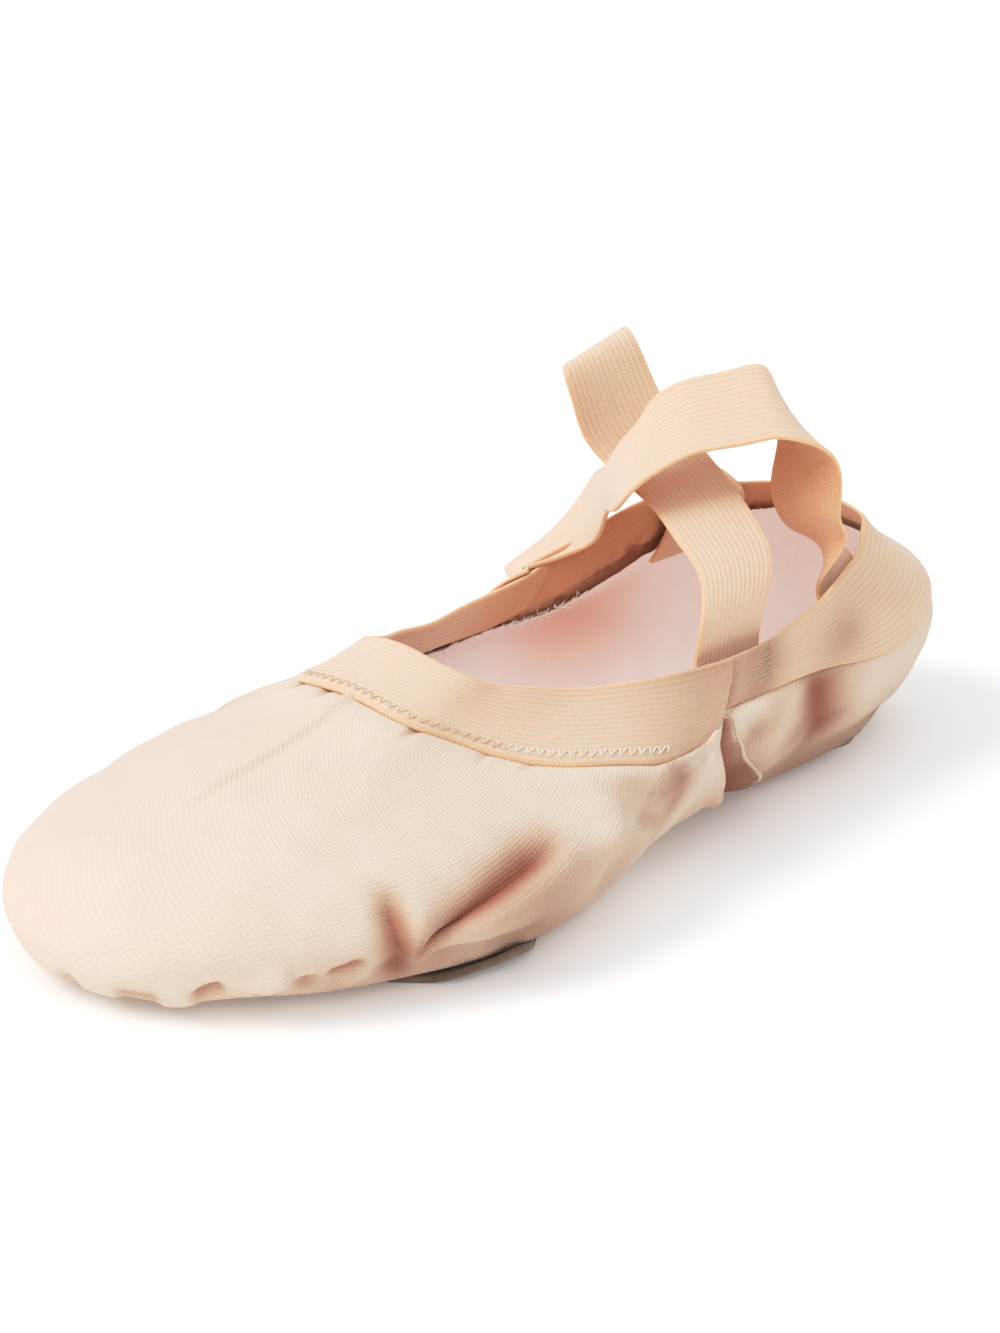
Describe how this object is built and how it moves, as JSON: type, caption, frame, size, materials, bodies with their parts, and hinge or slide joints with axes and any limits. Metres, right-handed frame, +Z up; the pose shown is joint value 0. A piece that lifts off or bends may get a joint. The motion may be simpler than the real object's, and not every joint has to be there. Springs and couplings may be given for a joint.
{
  "type": "split-sole ballet shoe",
  "caption": "Soft canvas ballet slipper with a split suede sole, an elastic band round the opening and two crossed elastic instep straps.",
  "frame": {"origin": "middle of the shoe's length and width, on the floor plane the suede patches stand on", "axes": "+X runs from the heel to the toe, +Y to the wearer's left side of the shoe, +Z up"},
  "size_m": [0.2462, 0.1004, 0.0867],
  "materials": {
    "canvas_pink": "matte stretch canvas",
    "elastic_peach": "ribbed elastic webbing",
    "suede_taupe": "brushed suede",
    "sock_cotton": "matte cotton lining"
  },
  "bodies": {
    "root": {"upper": "canvas_pink", "forefoot_sole": "suede_taupe", "heel_sole": "suede_taupe", "insole": "sock_cotton", "collar_front_elastic": "elastic_peach", "collar_heel_elastic": "elastic_peach", "strap_near": "elastic_peach", "strap_far": "elastic_peach"}
  },
  "joints": []
}
